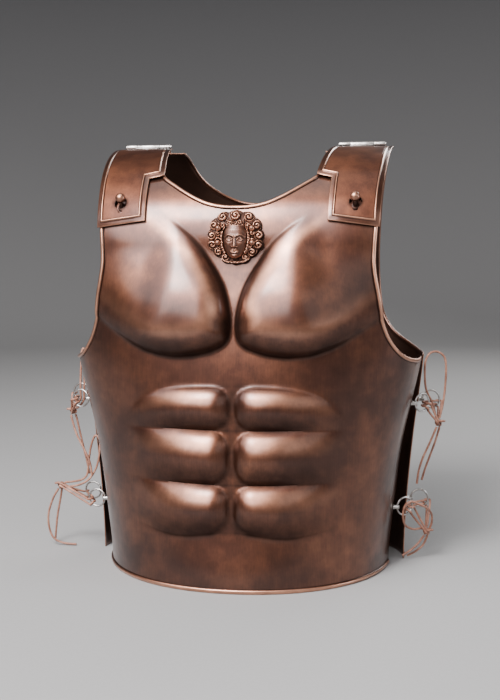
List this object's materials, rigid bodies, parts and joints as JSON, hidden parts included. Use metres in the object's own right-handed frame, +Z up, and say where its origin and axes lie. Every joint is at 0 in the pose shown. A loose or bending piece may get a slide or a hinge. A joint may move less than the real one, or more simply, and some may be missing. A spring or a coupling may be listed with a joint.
{
  "type": "muscle cuirass",
  "caption": "Embossed sheet-metal muscle cuirass: breastplate and backplate tied at the sides with leather laces through rings, with hinged shoulder pieces, ball studs and a mask boss",
  "frame": {"origin": "on the floor under the middle of the plates, rings and hinges, with the laces left out", "axes": "+Z up, the wearer faces -Y, the wearer's left is +X"},
  "size_m": [0.494, 0.291, 0.4985],
  "materials": {
    "antiqued_copper": "antiqued satin, dark in the hollows, polished on the raised edges",
    "bright_steel": "polished",
    "brown_leather": "waxed round cord"
  },
  "bodies": {
    "shell": {"breastplate": "antiqued_copper", "backplate": "antiqued_copper", "mask_boss": "antiqued_copper", "ball_stud_left": "antiqued_copper", "ball_stud_right": "antiqued_copper", "hinge_back_leaf_left": "bright_steel", "hinge_back_leaf_right": "bright_steel", "hinge_pin_left": "bright_steel", "hinge_pin_right": "bright_steel", "ring_post_front_upper_left": "bright_steel", "ring_post_front_lower_left": "bright_steel", "ring_post_front_upper_right": "bright_steel", "ring_post_front_lower_right": "bright_steel", "ring_post_back_upper_left": "bright_steel", "ring_post_back_lower_left": "bright_steel", "ring_post_back_upper_right": "bright_steel", "ring_post_back_lower_right": "bright_steel", "lacing_ring_front_upper_left": "bright_steel", "lacing_ring_front_lower_left": "bright_steel", "lacing_ring_front_upper_right": "bright_steel", "lacing_ring_front_lower_right": "bright_steel", "lacing_ring_back_upper_left": "bright_steel", "lacing_ring_back_lower_left": "bright_steel", "lacing_ring_back_upper_right": "bright_steel", "lacing_ring_back_lower_right": "bright_steel", "lace_knot_upper_left": "brown_leather", "lace_knot_lower_left": "brown_leather", "lace_knot_upper_right": "brown_leather", "lace_knot_lower_right": "brown_leather", "lace_turns_upper_left": "brown_leather", "lace_bow_upper_left": "brown_leather", "lace_tail_a_upper_left": "brown_leather", "lace_tail_b_upper_left": "brown_leather", "lace_turns_lower_left": "brown_leather", "lace_bow_lower_left": "brown_leather", "lace_tail_a_lower_left": "brown_leather", "lace_tail_b_lower_left": "brown_leather", "lace_turns_upper_right": "brown_leather", "lace_bow_upper_right": "brown_leather", "lace_tail_a_upper_right": "brown_leather", "lace_tail_b_upper_right": "brown_leather", "lace_turns_lower_right": "brown_leather", "lace_bow_lower_right": "brown_leather", "lace_tail_a_lower_right": "brown_leather", "lace_tail_b_lower_right": "brown_leather"},
    "shoulder_left": {"shoulder_piece_left": "antiqued_copper", "hinge_front_leaf_left": "bright_steel"},
    "shoulder_right": {"shoulder_piece_right": "antiqued_copper", "hinge_front_leaf_right": "bright_steel"}
  },
  "joints": [
    {"name": "shoulder_left_hinge", "type": "hinge", "parent": "shell", "child": "shoulder_left", "pos_m": [0.131, 0.0516, 0.4956], "axis": [-1, 0, 0], "range_deg": [0, 140]},
    {"name": "shoulder_right_hinge", "type": "hinge", "parent": "shell", "child": "shoulder_right", "pos_m": [-0.131, 0.0516, 0.4956], "axis": [-1, 0, 0], "range_deg": [0, 140]}
  ]
}
